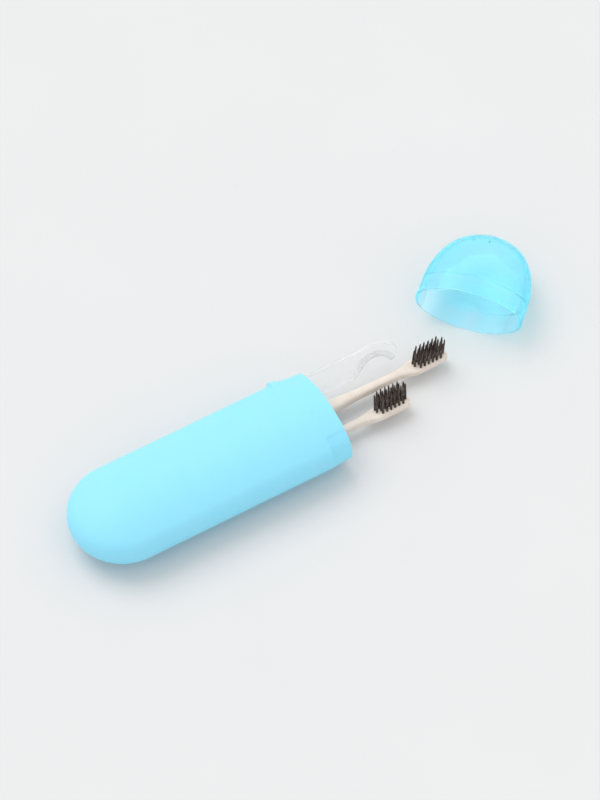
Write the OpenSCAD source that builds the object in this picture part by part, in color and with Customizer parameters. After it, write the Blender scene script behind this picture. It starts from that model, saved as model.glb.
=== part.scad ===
// Travel toothbrush case, lying open: an oval case body, a domed see-through cap set down
// askew in front of the mouth, a clear insert and two toothbrushes drawn part of the way out.
// Frame: origin at the centre of the case's flat landing, +X out of the mouth, +Z up.

/* [Case] */
// Overall length of the case body, neck included
case_l = 160; // [150:1:175]
// Width of the oval section
case_w = 62; // [58:0.5:66]
// Height of the oval section before the landing is cut
oval_h = 35.5; // [34:0.5:38]
// Radius of the two small side arcs of the oval
side_r = 12; // [11:0.5:13]
// Depth of the flat landing cut into the underside
landing_cut = 0.5; // [0.3:0.05:0.8]
// Wall thickness of the body
case_wall = 1.8; // [1.5:0.1:2.2]
// Length of the neck that the cap slides over
neck_l = 13; // [11:0.5:15]
// Step from the body's surface down to the neck
neck_step = 0.9; // [0.7:0.05:1.1]
// Wall thickness of the neck
neck_wall = 1.3; // [1.1:0.1:1.5]
// How far the thumb ledge on the far side stands proud
ledge_out = 1.9; // [1.2:0.1:2.4]
// Length of the thumb ledge along the case
ledge_l = 7.5; // [6:0.5:10]
// Height of the thumb ledge
ledge_h = 14; // [10:0.5:15]
// Extra depth of the recesses on both sides of the neck
recess_d = 0.5; // [0.3:0.05:0.6]
// Height that the two snap ridges stand off the neck
snap_h = 0.35; // [0.2:0.05:0.4]

/* [Cap] */
// Overall length of the cap
cap_l = 53.5; // [50:0.5:56]
// Length of the straight skirt before the dome starts
skirt_l = 10; // [6:0.5:12]
// Fullness of the dome, 2 for an ellipse and more for a squarer end
dome_power = 2.25; // [2:0.05:2.8]
// How far the cap's outside stands proud of the body's
cap_proud = 0.4; // [0.3:0.05:0.6]
// Wall of the skirt, where it covers the neck
skirt_wall = 1.2; // [1:0.05:1.25]
// Wall of the dome
dome_wall = 1.9; // [1.6:0.1:2.4]
// Diameter of the two vent holes
vent_d = 1.6; // [1:0.1:2.4]
// Distance between the two vent holes
vent_gap = 9.2; // [8:0.2:12]
// Turn of the loose cap against the case, in degrees
cap_turn = 41.5; // [38:0.5:46]
// Distance from the mouth to the middle of the cap's rim, along the case
cap_ahead = 106.3; // [104:0.1:120]
// Distance of the middle of the cap's rim to the far side of the case's centre line
cap_aside = 20.7; // [19:0.1:24]

/* [Insert] */
// Length of the insert that stays behind the mouth
insert_in = 70; // [60:1:80]
// Straight length of the insert in front of the mouth
insert_out = 47; // [42:1:50]
// Wall of the insert
insert_wall = 1.1; // [0.9:0.1:1.4]
// Gap between the insert and the inside of the neck
insert_gap = 0.4; // [0.35:0.05:0.6]

/* [Toothbrushes] */
// Length of a toothbrush
brush_l = 170; // [160:1:175]
// Width of the brush head
head_w = 10.4; // [10.2:0.1:11]
// Widest part of the grip
grip_w = 10.6; // [9:0.1:11]
// Diameter of one tuft
tuft_d = 1.6; // [1.3:0.05:1.7]
// Distance between tuft rows along the head
row_pitch = 2.65; // [2.4:0.05:2.7]
// Distance between neighbouring tufts across the head
across_pitch = 2.3; // [2.1:0.05:2.35]
// Height of the tufts above the head
tuft_h = 11; // [9:0.25:12]
// Lean of the tufts towards the tip, in degrees
tuft_lean = 8; // [4:0.5:10]
// How far the first brush's tip stands out of the mouth
brush_1_out = 84.8; // [75:0.1:86]
// How far the second brush's tip stands out of the mouth
brush_2_out = 49.9; // [44:0.1:52]

/* [Hidden] */
$fn = 64;
broad_fn = 160;

case_blue = [0.64, 0.93, 0.98];
cap_blue = [0.45, 0.88, 0.98, 0.55];
clear_grey = [0.90, 0.93, 0.93, 0.40];
straw = [0.87, 0.81, 0.74];
bristle_brown = [0.13, 0.10, 0.09];
anchor_metal = [0.80, 0.72, 0.48];

eps = 0.01;
// How far a cutter reaches past what it cuts
past = 1;
// Where things lie along X, with the origin under the middle of the landing
mouth_x = 75;
shoulder_x = mouth_x - neck_l;
turn_x = mouth_x - case_l + case_w / 2;
// Where the inside narrows from the body's wall to the neck's
inner_step_x = shoulder_x - 3;
half_h = oval_h / 2;
mid_z = half_h - landing_cut;
side_c = case_w / 2 - side_r;
// Radius of the broad top and bottom arcs that run into the side arcs without a corner
broad_r = (side_c * side_c + half_h * half_h - side_r * side_r) / (2 * (half_h - side_r));
broad_c = broad_r - half_h;

// Wall offsets, counted outwards from the body's surface
neck_out = -neck_step;
neck_in = -neck_step - neck_wall;
skirt_in = cap_proud - skirt_wall;
dome_in = cap_proud - dome_wall;
insert_off = neck_in - insert_gap;
collar_off = -1.9;
// Depth of the cap's seat, a little more than the neck
seat_l = neck_l + 0.3;

ledge_low = 16.5;
recess_w = 10.1;
snap_back = 12;
snap_aside = -4;
snap_l = 5;
snap_r = 1.2;
vent_x = 42;
vent_aside = 4.8;

// Insert: heights of its lower and upper edges, in the mouth and at the hooked end
insert_low = 7.2;
insert_high = 25.4;
hook_low = 10;
hook_high = 26;
hook_y = 18;
collar_x = 34;
collar_lap = 2;
hook_angle = 88;

// Toothbrushes
rows = 8;
brush_z = 7.6;
brush_1_y = 9;
brush_2_y = -8;
brush_1_roll = -6;
brush_2_roll = -17;
head_drop = 0.4;
head_t = 5;
hole_gap = 0.05;
hole_depth = 3.2;
toe_gap = 3;
anchor_t = 0.25;
anchor_w = 2;
anchor_h = 1.3;
head_top = head_t / 2 - head_drop;
tuft_fn = 24;

// Tufts in each row, from the heel of the head to its toe
function tufts_in(row) = row == 1 || row == rows ? 2 : 4;
// Distance of a row from the tail of the brush
function row_s(row) = brush_l - toe_gap - (rows - row) * row_pitch;

// ---- oval section, grown or shrunk by off, with the landing where cut is true ----
module oval(off, cut = false) {
    band = side_c * (broad_r + off) / (broad_r - side_r);
    intersection() {
        union() {
            for (s = [-1, 1])
                translate([s * side_c, 0]) circle(side_r + off);
            intersection() {
                translate([0, broad_c]) circle(broad_r + off, $fn = broad_fn);
                translate([0, -broad_c]) circle(broad_r + off, $fn = broad_fn);
                square([2 * band, 3 * oval_h], center = true);
            }
        }
        if (cut)
            translate([-case_w, -mid_z - off])
                square(2 * case_w);
    }
}

// Straight tube of the oval from x0 to x1
module oval_bar(off, x0, x1, cut = false) {
    translate([x0, 0, mid_z])
        rotate([90, 0, 90])
            linear_extrude(x1 - x0) oval(off, cut);
}

// Round end of the case: the half section turned about an upright axis
module oval_end(off, cut = false) {
    translate([turn_x, 0, mid_z])
        rotate([0, 0, 90])
            rotate_extrude(angle = 180)
                intersection() {
                    oval(off, cut);
                    translate([0, -oval_h]) square([case_w, 2 * oval_h]);
                }
}

// ---- case body ----
// A pad that follows the far side, cut off square at the shoulder
module thumb_ledge() {
    intersection() {
        oval_bar(ledge_out, shoulder_x - ledge_l, shoulder_x);
        translate([shoulder_x - ledge_l - past, 0, ledge_low])
            cube([ledge_l + 2 * past, case_w, ledge_h]);
    }
}

// Full section above and below the recesses, and a smaller one between them
module neck() {
    oval_bar(neck_out - recess_d, shoulder_x - eps, mouth_x);
    difference() {
        oval_bar(neck_out, shoulder_x - eps, mouth_x);
        translate([shoulder_x - past, -case_w, mid_z - recess_w])
            cube([neck_l + 2 * past, 2 * case_w, 2 * recess_w]);
    }
}

module snap_ridges() {
    surface_drop = broad_r - sqrt(broad_r * broad_r - snap_aside * snap_aside);
    for (s = [-1, 1])
        translate([
            mouth_x - snap_back,
            snap_aside,
            mid_z + s * (half_h - neck_step - surface_drop + snap_h - snap_r)
        ])
            rotate([90, 0, 0])
                cylinder(r = snap_r, h = snap_l, center = true);
}

module case_body() {
    color(case_blue)
        difference() {
            union() {
                oval_bar(0, turn_x, shoulder_x, true);
                oval_end(0, true);
                neck();
                thumb_ledge();
                snap_ridges();
            }
            oval_bar(-case_wall, turn_x, inner_step_x);
            oval_end(-case_wall);
            oval_bar(neck_in, inner_step_x - eps, mouth_x + past);
        }
}

// ---- cap, drawn along +X with its rim at x = 0 and then set down ----
rings = 16;
side_steps = 6;
broad_steps = 8;
sides = 4 * (side_steps + broad_steps);
// Angle about the side arc's centre at which the side arc meets the broad arc
arc_end = atan2(broad_c, side_c);
quarter = concat(
    [for (k = [0:side_steps - 1]) arc_end * (k + 0.5) / side_steps],
    [for (k = [0:broad_steps - 1]) arc_end + (90 - arc_end) * (k + 0.5) / broad_steps]
);
// One point of the oval's first quarter, at angle a
function quarter_point(a, off) =
    a < arc_end
        ? [side_c + (side_r + off) * cos(a), (side_r + off) * sin(a)]
        : [(broad_r + off) * cos(a), (broad_r + off) * sin(a) - broad_c];
// The whole oval, counter-clockwise
function oval_ring(off) =
    let (q = [for (a = quarter) quarter_point(a, off)], last = len(q) - 1)
    concat(
        q,
        [for (k = [last:-1:0]) [-q[k][0], q[k][1]]],
        [for (k = [0:last]) [-q[k][0], -q[k][1]]],
        [for (k = [last:-1:0]) [q[k][0], -q[k][1]]]
    );
// Share of the full section left at u of the dome's length
function dome_share(u) = pow(1 - pow(u, dome_power), 1 / dome_power);
// Stations of a domed skin: straight from x_rim to x_dome, then closing towards x_tip
function skin(x_rim, x_dome, x_tip) = concat(
    [[x_rim, 1]],
    [for (k = [0:rings - 1])
        let (u = sin(90 * k / rings))
        [x_dome + (x_tip - x_dome) * u, dome_share(u)]]
);

// Closed solid through the oval at each station, ending in a point at x_tip
module domed_solid(off, x_rim, x_dome, x_tip, floor_z) {
    stations = skin(x_rim, x_dome, x_tip);
    last = (len(stations) - 1) * sides;
    points = [
        for (st = stations, p = oval_ring(off))
            [st[0], p[0] * st[1], max(p[1] * st[1], floor_z)]
    ];
    rim = [for (k = [0:sides - 1]) k];
    walls = [for (j = [0:len(stations) - 2], k = [0:sides - 1])
        let (a = j * sides + k, b = j * sides + (k + 1) % sides)
        each [[a, b + sides, b], [a, a + sides, b + sides]]];
    nose = [for (k = [0:sides - 1]) [last + k, last + sides, last + (k + 1) % sides]];
    polyhedron(concat(points, [[x_tip, 0, 0]]), concat([rim], walls, nose));
}

module cap_shell() {
    difference() {
        domed_solid(cap_proud, 0, skirt_l, cap_l, -mid_z - cap_proud);
        domed_solid(dome_in, -past, skirt_l, cap_l - dome_wall, -oval_h);
        translate([-past, 0, 0])
            rotate([90, 0, 90])
                linear_extrude(seat_l + past) oval(skirt_in);
        for (s = [-1, 1])
            translate([vent_x, vent_aside + s * vent_gap / 2, half_h / 2])
                cylinder(d = vent_d, h = half_h);
    }
}

module cap() {
    color(cap_blue)
        translate([mouth_x + cap_ahead, cap_aside, mid_z + cap_proud])
            rotate([0, 0, cap_turn])
                cap_shell();
}

// ---- clear insert: a strip that hugs the far wall and hooks round at its outer end ----
module far_strip(off, low, high, x0, x1) {
    intersection() {
        difference() {
            oval_bar(off, x0, x1);
            oval_bar(off - insert_wall, x0 - past, x1 + past);
        }
        translate([x0 - past, hook_y, low])
            cube([x1 - x0 + 2 * past, case_w, high - low]);
    }
}

// The strip's outer skin turned round an upright axis, filled in to that axis
module hook_fill(off, low, high) {
    rotate_extrude(angle = hook_angle)
        intersection() {
            translate([-hook_y, 0]) oval(off);
            translate([0, low - mid_z]) square([case_w, high - low]);
        }
}

module insert_hook() {
    translate([mouth_x + insert_out, hook_y, mid_z])
        rotate([0, 0, 90 - hook_angle])
            difference() {
                hook_fill(collar_off, hook_low, hook_high);
                // Turned both ways, so that the hook is open at both ends
                for (s = [-1, 1])
                    rotate([0, 0, s])
                        hook_fill(collar_off - insert_wall, hook_low - past, hook_high + past);
            }
}

module clear_insert() {
    far_in = mouth_x - insert_in;
    collar_in = mouth_x + collar_x;
    color(clear_grey)
        union() {
            far_strip(insert_off, insert_low, insert_high, far_in, collar_in + collar_lap);
            far_strip(collar_off, hook_low, hook_high, collar_in, mouth_x + insert_out);
            insert_hook();
        }
}

// ---- toothbrush, drawn along +X with its tail at x = 0 and its length axis at z = 0 ----
// Key sections of the handle: distance from the tail, half width, half thickness, height
handle_keys = [
    [0, 3.9, 3.0, 0],
    [12, 4.5, 3.4, 0],
    [48, grip_w / 2, 3.8, 0],
    [86, 4.4, 3.6, 0],
    [116, 2.9, 2.6, 0],
    [134, 2.6, 2.3, -0.2],
    [brush_l - 31, 2.75, 2.3, -0.25],
    [brush_l - 29.5, 3.3, 2.45, -0.3],
    [brush_l - 21, head_w / 2, head_t / 2, -head_drop],
    [brush_l, head_w / 2, head_t / 2, -head_drop]
];
handle_sides = 22;
tail_round = 7;
toe_round = 6;
step_l = 4;
tail_turn = 18;
toe_turn = 17;
// Below 1 these square up the section: its sides, its faces and its two ends
side_power = 0.8;
face_power = 0.62;
end_power = 0.6;
// Smooth blend between neighbouring key sections
function key_before(s, k = 0) =
    k >= len(handle_keys) - 2 || handle_keys[k + 1][0] > s ? k : key_before(s, k + 1);
function handle_size(s, field) =
    let (k = key_before(s), a = handle_keys[k], b = handle_keys[k + 1],
         t = (s - a[0]) / (b[0] - a[0]), e = t * t * (3 - 2 * t))
    a[field] + (b[field] - a[field]) * e;
// Rounding of the tail and of the toe, as a share of the full section
function end_share(s) =
    s < tail_round ? sqrt(1 - pow(1 - s / tail_round, 2))
    : s > brush_l - toe_round ? sqrt(1 - pow((s - brush_l + toe_round) / toe_round, 2))
    : 1;
tail_stops = [for (k = [1:5]) tail_round * (1 - cos(tail_turn * k))];
toe_stops = [for (k = [0:5]) brush_l - toe_round * (1 - sin(toe_turn * k))];
mid_stops = [for (s = [tail_round + step_l:step_l:brush_l - toe_round - 1]) s];
stops = concat(tail_stops, mid_stops, toe_stops);
function sign_pow(v, p) = (v < 0 ? -1 : 1) * pow(abs(v), p);
function handle_ring(s) =
    let (w = handle_size(s, 1) * end_share(s), t = handle_size(s, 2) * pow(end_share(s), end_power))
    [for (k = [0:handle_sides - 1])
        let (a = 360 * (k + 0.5) / handle_sides)
        [s, w * sign_pow(cos(a), side_power), handle_size(s, 3) + t * sign_pow(sin(a), face_power)]];

module handle_blank() {
    count = len(stops);
    last = (count - 1) * handle_sides;
    points = [for (s = stops) each handle_ring(s)];
    walls = [for (j = [0:count - 2], k = [0:handle_sides - 1])
        let (a = j * handle_sides + k, b = j * handle_sides + (k + 1) % handle_sides)
        each [[a, b + handle_sides, b], [a, a + handle_sides, b + handle_sides]]];
    tail = [for (k = [0:handle_sides - 1]) k];
    toe = [for (k = [handle_sides - 1:-1:0]) last + k];
    polyhedron(points, concat([tail], walls, [toe]));
}

// Puts its children at every tuft of a row, with z along the tuft and 0 at the head's face
module at_tufts(row) {
    across = tufts_in(row);
    for (k = [0:across - 1])
        translate([row_s(row), (k - (across - 1) / 2) * across_pitch, head_top])
            rotate([0, tuft_lean, 0])
                children();
}

module anchor() {
    translate([-anchor_t / 2, -anchor_w / 2, -hole_depth])
        cube([anchor_t, anchor_w, anchor_h]);
}

module handle() {
    color(straw)
        difference() {
            handle_blank();
            for (row = [1:rows])
                at_tufts(row)
                    translate([0, 0, -hole_depth])
                        cylinder(d = tuft_d + 2 * hole_gap, h = hole_depth + 2 * past, $fn = tuft_fn);
        }
}

module tuft_row(row) {
    color(bristle_brown)
        at_tufts(row)
            difference() {
                translate([0, 0, -hole_depth])
                    cylinder(d = tuft_d, h = hole_depth + tuft_h, $fn = tuft_fn);
                anchor();
            }
}

module anchors() {
    color(anchor_metal)
        for (row = [1:rows])
            at_tufts(row) anchor();
}

// Puts its children where a brush lies
module place_brush(k) {
    out = k == 1 ? brush_1_out : brush_2_out;
    side = k == 1 ? brush_1_y : brush_2_y;
    roll = k == 1 ? brush_1_roll : brush_2_roll;
    translate([mouth_x + out - brush_l, side, brush_z])
        rotate([roll, 0, 0])
            children();
}

case_body();
cap();
clear_insert();
for (k = [1, 2]) {
    place_brush(k) handle();
    place_brush(k) anchors();
    for (row = [1:rows])
        place_brush(k) tuft_row(row);
}
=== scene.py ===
"""Looks of the travel toothbrush case: smooth moulded case, see-through cap, clear insert and two
toothbrushes with separate filaments, on a pale floor. Metres, in the frame of the CAD model."""

import math
import random

import bmesh
import bpy
import numpy as np
from mathutils import Matrix, Vector


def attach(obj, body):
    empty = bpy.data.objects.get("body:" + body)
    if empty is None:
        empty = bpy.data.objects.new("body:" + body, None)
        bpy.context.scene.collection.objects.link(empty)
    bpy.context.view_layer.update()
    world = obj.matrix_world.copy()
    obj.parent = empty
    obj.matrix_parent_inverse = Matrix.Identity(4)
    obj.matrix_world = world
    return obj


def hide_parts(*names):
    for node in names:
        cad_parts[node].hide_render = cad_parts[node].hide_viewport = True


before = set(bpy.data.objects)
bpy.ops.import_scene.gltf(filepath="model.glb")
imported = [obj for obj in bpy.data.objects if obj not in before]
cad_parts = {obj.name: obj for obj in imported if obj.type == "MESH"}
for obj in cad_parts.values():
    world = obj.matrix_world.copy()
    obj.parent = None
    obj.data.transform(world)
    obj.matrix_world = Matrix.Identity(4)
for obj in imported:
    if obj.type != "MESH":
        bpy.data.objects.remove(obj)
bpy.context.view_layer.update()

MM = 0.001

# ---------------------------------------------------------------- sizes, in millimetres
MOUTH_X = 75.0
CASE_L = 160.0
HALF_W = 31.0
HALF_H = 17.75
LANDING_CUT = 0.5
SIDE_R = 12.0
MID_Z = HALF_H - LANDING_CUT
SIDE_C = HALF_W - SIDE_R
BROAD_R = (SIDE_C**2 + HALF_H**2 - SIDE_R**2) / (2 * (HALF_H - SIDE_R))
BROAD_C = BROAD_R - HALF_H
# Where the section's side arc meets its broad arc
ARC_END = math.atan2(BROAD_C, SIDE_C)
SHOULDER_X = MOUTH_X - 13.0
TURN_X = MOUTH_X - CASE_L + HALF_W
# Offsets of the inner skin from the section
BODY_IN = -1.8
NECK_IN = -2.2
# Everything that isn't a plain oval starts this far behind the shoulder
DETAIL_BACK = 9.0
NECK_TAPER = 0.9
TAPER_BACK = 3.0
TAPER_L = 16.0
LIP_R = 0.45

RIDGE_X = MOUTH_X - 12.0
RIDGE_Y = -4.0
RIDGE_H = 0.42
RIDGE_HALF_L = 0.75
RIDGE_HALF_W = 2.6
RIDGE_MIN_Z = 10.1

LEDGE_H = 2.1
LEDGE_BACK = 7.6
LEDGE_RISE_L = 1.8
LEDGE_SLOPE = 0.08
LEDGE_SLOPE_BACK = 6.0
LEDGE_FALL_L = 2.6
# Lowest and highest z of the ledge, and how long it takes to fade in at each
LEDGE_SPAN = (12.0, 32.0, 3.0, 10.0)

# Depths of the near side's recess at its upper edge, at its deepest and at its foot
RECESS_TOP, RECESS_TOP_DEPTH = 12.8, 0.6
RECESS_MID, RECESS_DEPTH = 4.0, 1.5
RECESS_LOW, RECESS_LOW_DEPTH = -7.0, 0.2
RECESS_TOP_FADE = 7.0
RECESS_EDGE = 0.4
RECESS_START = 0.2
RECESS_BOW = 0.4
RECESS_STEP_L = 0.5

CAP_L = 53.5
SKIRT_L = 10.0
DOME_POWER = 2.25
CAP_PROUD = 0.4
CAP_WALL = 1.9
SEAT_WALL = 1.2
SEAT_L = 13.3
SEAT_STEP_BACK = 0.3
CAP_RIM_R = 0.5
CAP_TURN = math.radians(41.5)
CAP_RIM = (MOUTH_X + 106.3, 20.7, MID_Z + CAP_PROUD)
VENT_X = 42.0
VENT_Y = 4.8
VENT_HALF_GAP = 4.6
VENT_R = 0.8
# The middle of the tool that cuts a vent, and its length
VENT_TOOL_Z, VENT_TOOL_L = 13.0, 16.0

BRUSH_L = 170.0
BRUSH_Z = 7.6
HEAD_W = 10.4
HEAD_T = 5.0
HEAD_DROP = 0.4
HEAD_TOP = HEAD_T / 2 - HEAD_DROP
GRIP_W = 10.6
# How long the rounding of the handle's two ends is, and the shape of its section
TAIL_TURN = 7.0
TOE_TURN = 6.0
SIDE_POWER = 0.8
FACE_POWER = 0.62
END_POWER = 0.6
HANDLE_SIDES = 56
ROWS = 8
ROW_PITCH = 2.65
TOE_GAP = 3.0
ACROSS_PITCH = 2.3
TUFT_D = 1.6
TUFT_H = 11.0
TUFT_LEAN = math.radians(8)
FILAMENTS = 30
FILAMENT_R = 0.085
FILAMENT_SIDES = 5
# Shares of a filament's length, and of its radius there
FILAMENT_LEVELS = [(0.0, 1.0), (0.4, 1.0), (0.8, 0.98), (0.97, 0.85), (1.0, 0.35)]
GOLDEN_ANGLE = 2.39996
BUNDLE_R = TUFT_D / 2 * 0.80
ROOT = 0.6
TIP_SHARE = 0.72
TIP_DRIFT = 0.18
TIP_STRAY = 0.08
TIP_DOME = 1.5
TIP_UNEVEN = 0.35
BRUSHES = {
    1: {"out": 84.8, "side": 9.0, "roll": math.radians(-6)},
    2: {"out": 49.9, "side": -8.0, "roll": math.radians(-17)},
}


# ---------------------------------------------------------------- materials
# The Mix node's sockets for colours
MIX_A, MIX_B, MIX_RESULT = 6, 7, 2


def srgb(*channels):
    """Linear colour from display values 0 to 255."""
    out = []
    for c in channels:
        c /= 255
        out.append(c / 12.92 if c <= 0.04045 else ((c + 0.055) / 1.055) ** 2.4)
    return (*out, 1.0)


class Nodes:
    """A node material under construction."""

    def __init__(self, name):
        self.mat = bpy.data.materials.new(name)
        self.mat.use_nodes = True
        self.tree = self.mat.node_tree
        self.shader = self.tree.nodes["Principled BSDF"]

    def add(self, kind, **values):
        node = self.tree.nodes.new(kind)
        for key, value in values.items():
            if key in node.inputs:
                node.inputs[key].default_value = value
            else:
                setattr(node, key, value)
        return node

    def link(self, source, target):
        self.tree.links.new(source, target)

    def set(self, **values):
        for key, value in values.items():
            self.shader.inputs[key.replace("_", " ")].default_value = value

    def coords(self):
        return self.add("ShaderNodeTexCoord").outputs["Object"]

    def stretched_coords(self, scale):
        node = self.add("ShaderNodeMapping")
        node.inputs["Scale"].default_value = scale
        self.link(self.coords(), node.inputs["Vector"])
        return node.outputs["Vector"]

    def noise(self, scale, detail=3.0, rough=0.55):
        node = self.add("ShaderNodeTexNoise", Scale=scale, Detail=detail, Roughness=rough)
        self.link(self.coords(), node.inputs["Vector"])
        return node.outputs["Fac"]

    def remap(self, value, low, high, start=0.3, end=0.7):
        node = self.add("ShaderNodeMapRange")
        self.link(value, node.inputs["Value"])
        node.inputs["From Min"].default_value = start
        node.inputs["From Max"].default_value = end
        node.inputs["To Min"].default_value = low
        node.inputs["To Max"].default_value = high
        return node.outputs["Result"]

    def calculate(self, operation, a, b):
        node = self.add("ShaderNodeMath", operation=operation)
        self.link(a, node.inputs[0])
        self.link(b, node.inputs[1])
        return node.outputs[0]

    def blend(self, factor, a, b):
        """From a, a colour or a socket, to the colour b."""
        node = self.add("ShaderNodeMix", data_type="RGBA")
        self.link(factor, node.inputs["Factor"])
        if isinstance(a, tuple):
            node.inputs[MIX_A].default_value = a
        else:
            self.link(a, node.inputs[MIX_A])
        node.inputs[MIX_B].default_value = b
        return node.outputs[MIX_RESULT]

    def colour(self, socket):
        self.link(socket, self.shader.inputs["Base Color"])

    def roughness(self, socket):
        self.link(socket, self.shader.inputs["Roughness"])

    def bump(self, height, strength, distance):
        node = self.add("ShaderNodeBump")
        node.inputs["Strength"].default_value = strength
        node.inputs["Distance"].default_value = distance
        self.link(height, node.inputs["Height"])
        self.link(node.outputs["Normal"], self.shader.inputs["Normal"])


def case_material():
    m = Nodes("case_matte_blue")
    m.set(IOR=1.46, Specular_IOR_Level=0.5, Subsurface_Weight=0.25, Subsurface_Scale=0.003)
    m.shader.inputs["Subsurface Radius"].default_value = (0.2, 0.8, 1.0)
    # Painted glow: a faint blue-green emission stands in for a little light that has passed
    # through the wall
    m.set(Emission_Color=(0.0, 0.8, 1.0, 1.0), Emission_Strength=0.09)
    tone = m.blend(
        m.remap(m.noise(60.0, 4.0), 0.0, 1.0), (0.284, 0.668, 0.850, 1), (0.291, 0.678, 0.860, 1)
    )
    m.colour(tone)
    m.roughness(m.remap(m.noise(260.0, 5.0), 0.50, 0.62))
    m.bump(m.noise(5200.0, 3.0), 0.30, 0.00004)
    return m.mat


def cap_material():
    m = Nodes("cap_clear_blue")
    m.set(
        Base_Color=(0.95, 0.997, 1.0, 1.0),
        Transmission_Weight=1.0,
        IOR=1.34,
        Specular_IOR_Level=0.5,
        Alpha=0.6,
        # Painted glow: the emission stands in for light scattered inside the clear walls
        Emission_Color=(0.16, 0.52, 1.0, 1.0),
        Emission_Strength=0.115,
    )
    m.roughness(m.remap(m.noise(240.0, 3.0), 0.035, 0.075))
    m.bump(m.noise(95.0, 2.0), 0.10, 0.0006)
    absorb = m.add("ShaderNodeVolumeAbsorption")
    absorb.inputs["Color"].default_value = (0.0, 0.97, 1.0, 1.0)
    absorb.inputs["Density"].default_value = 148.0
    m.link(absorb.outputs["Volume"], m.tree.nodes["Material Output"].inputs["Volume"])
    return m.mat


def insert_material():
    m = Nodes("insert_clear")
    m.set(IOR=1.1, Specular_IOR_Level=0.4)
    # The long edges are greyed and made less clear as painted shade, standing in for the dark
    # lines along a clear strip's edges, most of all the lower one outside the case
    split = m.add("ShaderNodeSeparateXYZ")
    m.link(m.coords(), split.inputs[0])
    x, z = split.outputs["X"], split.outputs["Z"]
    lower_edge = m.remap(x, 0.0072, 0.0100, 0.104, 0.120)
    lower_edge.node.interpolation_type = "SMOOTHSTEP"
    above_it = m.calculate("SUBTRACT", z, lower_edge)
    low = m.calculate(
        "MULTIPLY",
        m.remap(above_it, 1.0, 0.0, 0.0008, 0.0024),
        m.remap(x, 0.3, 1.0, 0.100, 0.113),
    )
    high = m.remap(z, 0.0, 0.4, 0.0242, 0.0256)
    edge_shade = m.calculate("MAXIMUM", low, high)
    # Painted shade: grey along the long edges
    m.colour(m.blend(edge_shade, (0.985, 0.99, 0.99, 1), (0.60, 0.61, 0.60, 1)))
    m.link(m.remap(edge_shade, 1.0, 0.0, 0.0, 0.5), m.shader.inputs["Transmission Weight"])
    m.link(m.remap(edge_shade, 0.12, 0.38, 0.0, 1.0), m.shader.inputs["Alpha"])
    smooth = m.remap(m.noise(300.0, 3.0), 0.04, 0.10)
    m.roughness(m.calculate("ADD", smooth, m.remap(edge_shade, 0.0, 0.45, 0.0, 1.0)))
    m.bump(m.noise(45.0, 1.0), 0.05, 0.0003)
    return m.mat


def handle_material():
    m = Nodes("handle_straw_fibre")
    m.set(IOR=1.46, Specular_IOR_Level=0.4, Subsurface_Weight=0.06, Subsurface_Scale=0.002)
    m.shader.inputs["Subsurface Radius"].default_value = (1.0, 0.7, 0.5)
    base = m.blend(
        m.remap(m.noise(130.0, 4.0), 0.0, 1.0), srgb(222, 209, 197), srgb(233, 221, 210)
    )
    # Short fibres: cells stretched along the brush
    cells = m.add("ShaderNodeTexVoronoi", feature="F1", Scale=1.0)
    m.link(m.stretched_coords((900.0, 2600.0, 2600.0)), cells.inputs["Vector"])
    speck = m.remap(cells.outputs["Distance"], 1.0, 0.0, 0.10, 0.30)
    sparse = m.remap(m.noise(900.0, 2.0), 0.0, 1.0, 0.56, 0.66)
    fibres = m.calculate("MULTIPLY", speck, sparse)
    m.colour(m.blend(fibres, base, srgb(176, 152, 124)))
    m.roughness(m.remap(m.noise(420.0, 4.0), 0.42, 0.60))
    m.bump(m.noise(2400.0, 4.0), 0.25, 0.00005)
    return m.mat


def bristle_material():
    m = Nodes("bristle_charcoal_brown")
    m.set(IOR=1.53, Specular_IOR_Level=0.55)
    # Filaments differ a little from one to the next
    streak = m.add("ShaderNodeTexNoise", Scale=1.0, Detail=1.0)
    m.link(m.stretched_coords((1500.0, 1500.0, 240.0)), streak.inputs["Vector"])
    tone = m.blend(
        m.remap(streak.outputs["Fac"], 0.0, 1.0, 0.35, 0.65), srgb(28, 21, 18), srgb(126, 108, 98)
    )
    m.colour(tone)
    m.roughness(m.remap(m.noise(1500.0, 2.0), 0.32, 0.50))
    m.bump(m.noise(6000.0, 2.0), 0.2, 0.00003)
    return m.mat


def anchor_material():
    m = Nodes("anchor_nickel_silver")
    m.set(Metallic=1.0)
    tone = m.blend(
        m.remap(m.noise(1200.0, 3.0), 0.0, 1.0), (0.62, 0.52, 0.30, 1), (0.74, 0.64, 0.40, 1)
    )
    m.colour(tone)
    m.roughness(m.remap(m.noise(2400.0, 3.0), 0.22, 0.38))
    return m.mat


def floor_material():
    m = Nodes("floor_paper")
    m.set(Specular_IOR_Level=0.15)
    tone = m.blend(
        m.remap(m.noise(9.0, 3.0), 0.0, 1.0), (0.700, 0.703, 0.706, 1), (0.712, 0.714, 0.717, 1)
    )
    m.colour(tone)
    m.shader.inputs["Roughness"].default_value = 0.9
    m.bump(m.noise(900.0, 4.0), 0.05, 0.0001)
    return m.mat


# ---------------------------------------------------------------- mesh helpers
def new_object(name, verts, faces, material, weld=1e-7):
    """A smooth-shaded mesh object from points in millimetres."""
    mesh = bpy.data.meshes.new(name)
    mesh.from_pydata([tuple(float(c) * MM for c in v) for v in verts], [], faces)
    work = bmesh.new()
    work.from_mesh(mesh)
    bmesh.ops.remove_doubles(work, verts=work.verts, dist=weld)
    bmesh.ops.dissolve_degenerate(work, edges=work.edges, dist=1e-8)
    bmesh.ops.recalc_face_normals(work, faces=work.faces)
    work.to_mesh(mesh)
    work.free()
    for polygon in mesh.polygons:
        polygon.use_smooth = True
    obj = bpy.data.objects.new(name, mesh)
    bpy.context.collection.objects.link(obj)
    mesh.materials.append(material)
    return obj


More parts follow.
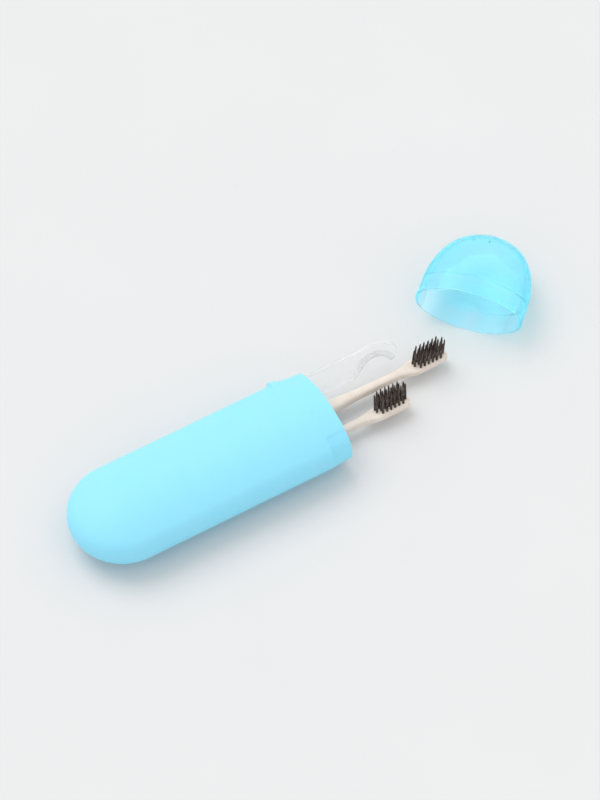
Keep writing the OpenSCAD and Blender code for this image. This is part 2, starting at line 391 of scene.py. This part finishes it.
def tube(rings, closed_start=False, closed_end=False):
    """Points and quads through rings of equal length."""
    count, size = len(rings), len(rings[0])
    verts = [p for ring in rings for p in ring]
    faces = []
    for j in range(count - 1):
        for k in range(size):
            a, b = j * size + k, j * size + (k + 1) % size
            faces.append((a, b, b + size, a + size))
    if closed_start:
        faces.append(tuple(range(size - 1, -1, -1)))
    if closed_end:
        faces.append(tuple((count - 1) * size + k for k in range(size)))
    return verts, faces


def smooth_step(t):
    t = min(max(t, 0.0), 1.0)
    return t * t * (3 - 2 * t)


def window(value, low, high, soft_low, soft_high):
    """1 between low and high, with soft edges inside them."""
    return smooth_step((value - low) / soft_low) * smooth_step((high - value) / soft_high)


# ---------------------------------------------------------------- oval section
def half_section(broad_steps=32, side_steps=48):
    """Points and outward normals of the oval's +Y half, from the bottom to the top."""
    quarter = [(a * ARC_END / (side_steps / 2), True) for a in range(side_steps // 2)]
    span = math.pi / 2 - ARC_END
    # Closer together where the broad arc leaves the side arc, at the recess's edge
    shares = [(k / broad_steps) ** 1.6 for k in range(broad_steps + 1)]
    quarter += [(ARC_END + span * share, False) for share in shares]
    upper = []
    for angle, on_side in quarter:
        ny, nz = math.cos(angle), math.sin(angle)
        if on_side:
            upper.append((SIDE_C + SIDE_R * ny, SIDE_R * nz, ny, nz))
        else:
            upper.append((BROAD_R * ny, BROAD_R * nz - BROAD_C, ny, nz))
    upper[-1] = (0.0, HALF_H, 0.0, 1.0)
    lower = [(y, -z, ny, -nz) for y, z, ny, nz in reversed(upper[1:])]
    return lower + upper


HALF = half_section()
FULL = HALF + [(-y, z, -ny, nz) for y, z, ny, nz in reversed(HALF[1:-1])]


def ledge_height(x, y0, z0):
    """How far the thumb ledge stands out: steep behind, sloping down towards the neck."""
    if y0 <= 0:
        return 0.0
    rise = smooth_step((x - (SHOULDER_X - LEDGE_BACK)) / LEDGE_RISE_L)
    slope = 1 - LEDGE_SLOPE * (x - (SHOULDER_X - LEDGE_SLOPE_BACK))
    fall = 1 - smooth_step((x - (SHOULDER_X - LEDGE_FALL_L)) / LEDGE_FALL_L)
    return LEDGE_H * rise * slope * fall * window(MID_Z + z0, *LEDGE_SPAN)


def recess_depth(z0):
    """Depth of the near side's recess: it falls away below its upper edge and comes back."""
    if z0 > RECESS_MID:
        share = smooth_step((RECESS_TOP - z0) / RECESS_TOP_FADE)
        return RECESS_TOP_DEPTH + (RECESS_DEPTH - RECESS_TOP_DEPTH) * share
    share = smooth_step((z0 - RECESS_LOW) / (RECESS_MID - RECESS_LOW))
    return RECESS_LOW_DEPTH + (RECESS_DEPTH - RECESS_LOW_DEPTH) * share


def inner_neck_offset(sample):
    """The inside of the neck, which keeps its wall behind the recess."""
    y0, z0 = sample[:2]
    if y0 > 0 or z0 > RECESS_TOP:
        return NECK_IN
    return NECK_IN - max(0.0, recess_depth(z0) - RECESS_TOP_DEPTH)


def neck_offset(x, y0, z0):
    """Offset of the outside near the shoulder and beyond it: a slight taper, the two snap
    ridges, and the near side's recess."""
    taper = NECK_TAPER * smooth_step((x - SHOULDER_X + TAPER_BACK) / TAPER_L)
    along = max(0.0, 1 - ((x - RIDGE_X) / RIDGE_HALF_L) ** 2)
    across = max(0.0, 1 - ((y0 - RIDGE_Y) / RIDGE_HALF_W) ** 4)
    ridge = RIDGE_H * across * math.sqrt(along) * (abs(z0) > RIDGE_MIN_Z)
    if y0 > 0:
        return ridge - taper
    inside = smooth_step((RECESS_TOP - z0) / RECESS_EDGE)
    start = SHOULDER_X + RECESS_START + RECESS_BOW * max(0.0, 1 - (z0 / RECESS_TOP) ** 2)
    step = recess_depth(z0) * smooth_step((x - start) / RECESS_STEP_L)
    # The recess takes up part of the taper, and its upper edge still shows at the mouth
    return ridge - taper - inside * max(0.0, step - 0.35 * taper)


def outside_offset(x, y0, z0):
    if x < SHOULDER_X - DETAIL_BACK:
        return 0.0
    return neck_offset(x, y0, z0) + ledge_height(x, y0, z0)


def section_point(sample, offset):
    y, z, ny, nz = sample
    return y + ny * offset, z + nz * offset


def case_ring(x, offset_of, outside=True):
    ring = []
    for sample in FULL:
        y, z = section_point(sample, offset_of(sample))
        ring.append((x, y, max(MID_Z + z, 0.0) if outside else MID_Z + z))
    return ring


def case_rings():
    """Rings from the outer turn to the mouth, round the lip and back to the inner turn."""
    rings = []
    xs = list(np.linspace(TURN_X, SHOULDER_X - DETAIL_BACK - 0.2, 28))
    xs += list(np.arange(SHOULDER_X - DETAIL_BACK, MOUTH_X - 0.5, 0.22))
    for x in xs:
        rings.append(case_ring(x, lambda s, x=x: outside_offset(x, s[0], s[1])))
    lip_x, lip_steps = MOUTH_X - LIP_R, 14
    for k in range(lip_steps + 1):
        a = math.pi * k / lip_steps

        def lip(sample, a=a):
            outer = outside_offset(lip_x, sample[0], sample[1])
            inner = inner_neck_offset(sample)
            return (outer + inner) / 2 + (outer - inner) / 2 * math.cos(a)

        rings.append(case_ring(lip_x + LIP_R * math.sin(a), lip))
    for x in np.linspace(MOUTH_X - 1.0, SHOULDER_X, 12):
        rings.append(case_ring(x, inner_neck_offset, outside=False))
    widening_steps = 8
    for k in range(1, widening_steps + 1):
        t = smooth_step(k / widening_steps)

        def widening(sample, t=t):
            return inner_neck_offset(sample) * (1 - t) + BODY_IN * t

        rings.append(case_ring(SHOULDER_X - 0.4 * k, widening, outside=False))
    for x in np.linspace(SHOULDER_X - 4.0, TURN_X, 26):
        rings.append(case_ring(x, lambda s: BODY_IN, outside=False))
    return rings


def make_case(material):
    """The rings, closed by each skin's half section turned through half a circle."""
    verts, faces = tube(case_rings())
    steps = 40
    for offset, outside in ((0.0, True), (BODY_IN, False)):
        start = len(verts)
        size = len(HALF)
        for j in range(steps + 1):
            turn = math.pi * j / steps
            for sample in HALF:
                y, z = section_point(sample, offset)
                height = MID_Z + z
                if outside:
                    height = max(height, 0.0)
                verts.append((TURN_X - y * math.sin(turn), y * math.cos(turn), height))
        for j in range(steps):
            for k in range(size - 1):
                a = start + j * size + k
                faces.append((a, a + size, a + size + 1, a + 1))
    return new_object("case_body_smooth", verts, faces, material, weld=2e-6)


# ---------------------------------------------------------------- cap
def cap_rings():
    """Stations of the cap's closed skin: outer tip, rim, seat step, inner tip."""
    out_off, in_off, seat_off = CAP_PROUD, CAP_PROUD - CAP_WALL, CAP_PROUD - SEAT_WALL
    steps = 56
    outer = []
    for k in range(1, steps):
        u = math.cos(math.pi / 2 * k / steps)
        share = (1 - u**DOME_POWER) ** (1 / DOME_POWER)
        outer.append((SKIRT_L + (CAP_L - SKIRT_L) * u, share, out_off))
    skirt = [(x, 1.0, out_off) for x in np.linspace(SKIRT_L, CAP_RIM_R, 12)]
    rim, rim_steps = [], 12
    mid, half = (out_off + seat_off) / 2, (out_off - seat_off) / 2
    for k in range(1, rim_steps):
        a = math.pi * k / rim_steps
        rim.append((CAP_RIM_R - CAP_RIM_R * math.sin(a), 1.0, mid + half * math.cos(a)))
    inner_l = CAP_L - CAP_WALL

    def inner_share(x):
        u = max(0.0, (x - SKIRT_L) / (inner_l - SKIRT_L))
        return (1 - u**DOME_POWER) ** (1 / DOME_POWER)

    seat_end = SEAT_L - SEAT_STEP_BACK
    seat = [(x, 1.0, seat_off) for x in np.linspace(CAP_RIM_R, seat_end, 14)]
    step, step_steps = [], 9
    for k in range(1, step_steps):
        t = smooth_step(k / step_steps)
        share = 1 + (inner_share(SEAT_L) - 1) * t
        step.append((seat_end + 0.35 * t, share, seat_off + (in_off - seat_off) * t))
    inner = []
    start = math.asin((SEAT_L + 0.1 - SKIRT_L) / (inner_l - SKIRT_L))
    for k in range(steps):
        u = math.sin(start + (math.pi / 2 - start) * k / steps)
        x = SKIRT_L + (inner_l - SKIRT_L) * u
        inner.append((x, inner_share(x), in_off))
    return outer + skirt + rim + seat + step + inner


def make_cap(material):
    rings = []
    floor_z = -CAP_RIM[2]
    turned = Matrix.Rotation(CAP_TURN, 3, "Z")
    for x, share, offset in cap_rings():
        ring = []
        for sample in FULL:
            y, z = section_point(sample, offset)
            y, z = y * share, max(z * share, floor_z)
            p = turned @ Vector((x, y, z)) + Vector(CAP_RIM)
            ring.append(tuple(p))
        rings.append(ring)
    verts, faces = tube(rings, closed_start=True, closed_end=True)
    obj = new_object("cap_smooth", verts, faces, material, weld=2e-7)
    # Vent holes
    for side in (-VENT_HALF_GAP, VENT_HALF_GAP):
        centre = turned @ Vector((VENT_X, VENT_Y + side, VENT_TOOL_Z)) + Vector(CAP_RIM)
        bpy.ops.mesh.primitive_cylinder_add(
            vertices=28, radius=VENT_R * MM, depth=VENT_TOOL_L * MM, location=centre * MM
        )
        tool = bpy.context.object
        cut = obj.modifiers.new("vent", "BOOLEAN")
        cut.operation = "DIFFERENCE"
        cut.solver = "EXACT"
        cut.object = tool
        bpy.context.view_layer.objects.active = obj
        obj.select_set(True)
        bpy.ops.object.modifier_apply(modifier=cut.name)
        bpy.data.objects.remove(tool, do_unlink=True)
    return obj


# ---------------------------------------------------------------- insert
INSERT_WALL = 1.1
STRIP_EDGE_R = 0.5
BEAD = 0.45
# Height of the bead's middle over the lower edge, and half its width
BEAD_UP, BEAD_HALF_W = 1.1, 1.2
# Offset from the section, lowest and highest z, in the case and at the collar
INSERT_IN = (-2.6, 7.2, 25.4)
INSERT_COLLAR = (-1.9, 10.0, 26.0)
INSERT_START_X = MOUTH_X - 70.0
COLLAR_X = MOUTH_X + 37.0
COLLAR_RISE_L = 16.0
HOOK_X = MOUTH_X + 47.0
HOOK_Y = 18.0


def far_y(height, offset):
    """Y of the oval, grown by offset, at a height above the floor."""
    z = height - MID_Z
    r = SIDE_R + offset
    if abs(z) < r * math.sin(ARC_END):
        return SIDE_C + math.sqrt(r * r - z * z)
    return math.sqrt((BROAD_R + offset) ** 2 - (abs(z) + BROAD_C) ** 2)


def strip_section(offset, low, high, shrink=0.0, bead=0.0):
    """(y, z) round the strip's cross-section: long edges rounded, the lower one with a bead."""
    edge = STRIP_EDGE_R
    low, high = low + shrink, high - shrink
    mid_off, half_off = offset - INSERT_WALL / 2, INSERT_WALL / 2 - shrink

    def point(z, side):
        swell = bead * max(0.0, 1 - ((z - low - BEAD_UP) / BEAD_HALF_W) ** 2)
        return far_y(z, mid_off + side * (half_off + swell)), z

    straight = [(1 - math.cos(math.pi * k / 24)) / 2 for k in range(25)]
    bends = [math.pi * k / 8 for k in range(1, 8)]
    out = [point(low + edge + (high - low - 2 * edge) * t, 1) for t in straight]
    out += [point(high - edge + edge * math.sin(a), math.cos(a)) for a in bends]
    out += [point(high - edge - (high - low - 2 * edge) * t, -1) for t in straight]
    out += [point(low + edge - edge * math.sin(a), -math.cos(a)) for a in bends]
    return out


def make_insert(material):
    """The strip from its inner end, over the rise to the collar, and round the hook."""
    rings = []
    for back, shrink in ((0.0, 0.3), (0.12, 0.1), (0.35, 0.0)):
        x = INSERT_START_X + back
        rings.append([(x, y, z) for y, z in strip_section(*INSERT_IN, shrink)])
    for x in np.linspace(INSERT_START_X + 2, COLLAR_X - 8.2, 40):
        rings.append([(x, y, z) for y, z in strip_section(*INSERT_IN)])
    rise_steps = 24
    for k in range(1, rise_steps + 1):
        t = smooth_step(k / rise_steps)
        mixed = [a + (b - a) * t for a, b in zip(INSERT_IN, INSERT_COLLAR)]
        x = COLLAR_X + COLLAR_RISE_L * (k / rise_steps - 0.5)
        rings.append([(x, y, z) for y, z in strip_section(*mixed, 0.0, BEAD * t)])
    for x in np.linspace(COLLAR_X + 8.3, HOOK_X, 6):
        rings.append([(x, y, z) for y, z in strip_section(*INSERT_COLLAR, 0.0, BEAD)])
    turns = [(a, 0.0) for a in np.linspace(3, 85, 30)] + [(87.0, 0.08), (88.0, 0.3)]
    for degrees, shrink in turns:
        a = math.radians(degrees)
        ring = []
        for y, z in strip_section(*INSERT_COLLAR, shrink, BEAD):
            reach = y - HOOK_Y
            ring.append((HOOK_X + reach * math.sin(a), HOOK_Y + reach * math.cos(a), z))
        rings.append(ring)
    verts, faces = tube(rings, closed_start=True, closed_end=True)
    return new_object("insert_smooth", verts, faces, material)


# ---------------------------------------------------------------- toothbrushes
# Distance from the tail, half width, half thickness, and height of the middle
HANDLE_KEYS = [
    (0.0, 3.9, 3.0, 0.0),
    (12.0, 4.5, 3.4, 0.0),
    (48.0, GRIP_W / 2, 3.8, 0.0),
    (86.0, 4.4, 3.6, 0.0),
    (116.0, 2.9, 2.6, 0.0),
    (134.0, 2.6, 2.3, -0.2),
    (BRUSH_L - 31.0, 2.75, 2.3, -0.25),
    (BRUSH_L - 29.5, 3.3, 2.45, -0.3),
    (BRUSH_L - 21.0, HEAD_W / 2, HEAD_T / 2, -HEAD_DROP),
    (BRUSH_L, HEAD_W / 2, HEAD_T / 2, -HEAD_DROP),
]


def handle_size(s, field):
    for a, b in zip(HANDLE_KEYS, HANDLE_KEYS[1:]):
        if s <= b[0]:
            return a[field] + (b[field] - a[field]) * smooth_step((s - a[0]) / (b[0] - a[0]))
    return HANDLE_KEYS[-1][field]


def end_share(s):
    """Share of the handle's full width, from 0 at its rounded ends."""
    if s < TAIL_TURN:
        return math.sqrt(max(0.0, 1 - (1 - s / TAIL_TURN) ** 2))
    if s > BRUSH_L - TOE_TURN:
        return math.sqrt(max(0.0, 1 - ((s - BRUSH_L + TOE_TURN) / TOE_TURN) ** 2))
    return 1.0


def signed_power(v, p):
    return math.copysign(abs(v) ** p, v)


def brush_matrix(k):
    lie = BRUSHES[k]
    return Matrix.Translation((MOUTH_X + lie["out"] - BRUSH_L, lie["side"], BRUSH_Z)) @ (
        Matrix.Rotation(lie["roll"], 4, "X")
    )


def make_handle(k, material):
    place = brush_matrix(k)
    tail = [TAIL_TURN * (1 - math.cos(math.radians(a))) for a in range(6, 90, 6)]
    toe = [BRUSH_L - TOE_TURN * (1 - math.sin(math.radians(a))) for a in range(0, 88, 5)]
    body = list(np.arange(TAIL_TURN, BRUSH_L - TOE_TURN - 0.2, 1.0))
    rings = []
    for s in tail + body + toe:
        w = handle_size(s, 1) * end_share(s)
        t = handle_size(s, 2) * end_share(s) ** END_POWER
        ring = []
        for n in range(HANDLE_SIDES):
            a = 2 * math.pi * n / HANDLE_SIDES
            y = w * signed_power(math.cos(a), SIDE_POWER)
            z = handle_size(s, 3) + t * signed_power(math.sin(a), FACE_POWER)
            ring.append(tuple(place @ Vector((s, y, z))))
        rings.append(ring)
    verts, faces = tube(rings, closed_start=True, closed_end=True)
    return new_object(f"brush_{k}_handle_smooth", verts, faces, material)


def tufts_in(row):
    return 2 if row in (1, ROWS) else 4


def make_row(k, row, material):
    """One row of tufts, each a bundle of separate filaments with rounded tips."""
    rng = random.Random(1000 * k + row)
    place = brush_matrix(k)
    lean = Matrix.Rotation(TUFT_LEAN, 4, "Y")
    across = tufts_in(row)
    s = BRUSH_L - TOE_GAP - (ROWS - row) * ROW_PITCH
    verts, faces = [], []
    for n in range(across):
        y = (n - (across - 1) / 2) * ACROSS_PITCH
        base = Matrix.Translation((s, y, HEAD_TOP)) @ lean
        turn = rng.uniform(0.0, 6.28)
        drift = (rng.uniform(-TIP_DRIFT, TIP_DRIFT), rng.uniform(-TIP_DRIFT, TIP_DRIFT))
        for f in range(FILAMENTS):
            share = math.sqrt((f + 0.5) / FILAMENTS)
            ring_r = BUNDLE_R * share
            ring_a = f * GOLDEN_ANGLE + turn
            fx, fy = ring_r * math.cos(ring_a), ring_r * math.sin(ring_a)
            # The bundle narrows towards its tip, where the middle stands highest
            tip = (
                fx * TIP_SHARE + drift[0] + rng.uniform(-TIP_STRAY, TIP_STRAY),
                fy * TIP_SHARE + drift[1] + rng.uniform(-TIP_STRAY, TIP_STRAY),
                TUFT_H - TIP_DOME * share**2 - rng.uniform(0.0, TIP_UNEVEN),
            )
            rings = []
            for t, grow in FILAMENT_LEVELS:
                cx = fx + (tip[0] - fx) * t * t
                cy = fy + (tip[1] - fy) * t * t
                cz = -ROOT + (tip[2] + ROOT) * t
                r = FILAMENT_R * grow
                ring = []
                for q in range(FILAMENT_SIDES):
                    a = 2 * math.pi * q / FILAMENT_SIDES
                    p = (cx + r * math.cos(a), cy + r * math.sin(a), cz)
                    ring.append(tuple(place @ (base @ Vector(p))))
                rings.append(ring)
            points, quads = tube(rings, closed_start=True, closed_end=True)
            start = len(verts)
            verts += points
            faces += [tuple(i + start for i in face) for face in quads]
    return new_object(f"brush_{k}_tuft_row_{row}_filaments", verts, faces, material, weld=1e-9)


# ---------------------------------------------------------------- the model
mats = {
    "case": case_material(),
    "cap": cap_material(),
    "insert": insert_material(),
    "handle": handle_material(),
    "bristle": bristle_material(),
    "anchor": anchor_material(),
    "floor": floor_material(),
}


def dress(node, material):
    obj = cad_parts[node]
    for slot in obj.material_slots:
        slot.material = material


def settle(obj, body, slot, *nodes):
    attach(obj, body)
    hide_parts(*nodes)


def shade_by_weight(obj):
    smooth = obj.modifiers.new("weighted_normals", "WEIGHTED_NORMAL")
    smooth.keep_sharp = True
    smooth.weight = 60


case = make_case(mats["case"])
shade_by_weight(case)
settle(case, "case", "case_plastic", "case_body")
cap = make_cap(mats["cap"])
shade_by_weight(cap)
settle(cap, "loose_cap", "cap_plastic", "cap")
insert = make_insert(mats["insert"])
shade_by_weight(insert)
settle(insert, "insert", "insert_plastic", "clear_insert")
dress("clear_insert", mats["insert"])
dress("case_body", mats["case"])
dress("cap", mats["cap"])
for k in BRUSHES:
    body = f"brush_{k}"
    dress(f"brush_{k}_handle", mats["handle"])
    dress(f"brush_{k}_anchors", mats["anchor"])
    settle(make_handle(k, mats["handle"]), body, "handle_plastic", f"brush_{k}_handle")
    for row in range(1, ROWS + 1):
        node = f"brush_{k}_tuft_row_{row}"
        dress(node, mats["bristle"])
        settle(make_row(k, row, mats["bristle"]), body, "bristle", node)

# ---------------------------------------------------------------- floor, light and camera
floor_mesh = bpy.data.meshes.new("floor")
reach = 4.0
floor_mesh.from_pydata(
    [(-reach, -reach, 0), (reach, -reach, 0), (reach, reach, 0), (-reach, reach, 0)],
    [],
    [(0, 1, 2, 3)],
)
floor_mesh.materials.append(mats["floor"])
floor = bpy.data.objects.new("floor", floor_mesh)
# Just below the model, so that the two surfaces don't fight
floor.location.z = -0.00005
bpy.context.collection.objects.link(floor)


world = bpy.data.worlds.new("soft_studio")
world.use_nodes = True
tree = world.node_tree
sky = tree.nodes["Background"]
sky.inputs["Color"].default_value = (0.985, 0.988, 0.992, 1.0)
# Brighter overhead than at the horizon
horizon, zenith = 0.86, 1.00
way = tree.nodes.new("ShaderNodeTexCoord")
split = tree.nodes.new("ShaderNodeSeparateXYZ")
rise = tree.nodes.new("ShaderNodeMapRange")
tree.links.new(way.outputs["Generated"], split.inputs[0])
tree.links.new(split.outputs["Z"], rise.inputs["Value"])
rise.inputs["From Min"].default_value = 0.0
rise.inputs["From Max"].default_value = 1.0
rise.inputs["To Min"].default_value = horizon
rise.inputs["To Max"].default_value = zenith
tree.links.new(rise.outputs["Result"], sky.inputs["Strength"])
bpy.context.scene.world = world
bpy.context.scene.view_settings.view_transform = "Standard"

# The camera looks down from the near side. It stands off the foot of the mouth, and aims
# a little to the left of it and above it
elevation = math.radians(54.974)
heading = math.radians(31.2)
distance = 2.2
# At the mouth's distance, in millimetres: the height of the view, and the aim's place
view_h = 448.43
aim_left, aim_up = 14.524, 18.344
sensor = 36.0
level = Vector((math.sin(heading), math.cos(heading), 0))
right = Vector((math.cos(heading), -math.sin(heading), 0))
ahead = level * math.cos(elevation) - Vector((0, 0, 1)) * math.sin(elevation)
above = level * math.sin(elevation) + Vector((0, 0, 1)) * math.cos(elevation)
mouth_foot = Vector((MOUTH_X * MM, 0, 0))
eye = mouth_foot - ahead * distance
aim = mouth_foot - right * (aim_left * MM) + above * (aim_up * MM)

camera_data = bpy.data.cameras.new("camera")
# The sensor's width goes to the picture's longer side, its height
camera_data.sensor_fit = "AUTO"
camera_data.sensor_width = sensor
camera_data.lens = sensor * distance / (view_h * MM)
camera_data.clip_end = 20
camera = bpy.data.objects.new("camera", camera_data)
camera.location = eye
camera.rotation_euler = (aim - eye).normalized().to_track_quat("-Z", "Y").to_euler()
bpy.context.collection.objects.link(camera)
bpy.context.scene.camera = camera

# Broad key light from behind and above, so that shadows fall towards the camera's lower right
sun_data = bpy.data.lights.new("key", "SUN")
sun_data.energy = 1.05
sun_data.angle = math.radians(42)
sun_data.color = (1.0, 0.995, 0.985)
sun = bpy.data.objects.new("key", sun_data)
sun_way = Vector((-0.142, 0.525, 0.834))
sun.rotation_euler = (-sun_way).to_track_quat("-Z", "Y").to_euler()
bpy.context.collection.objects.link(sun)
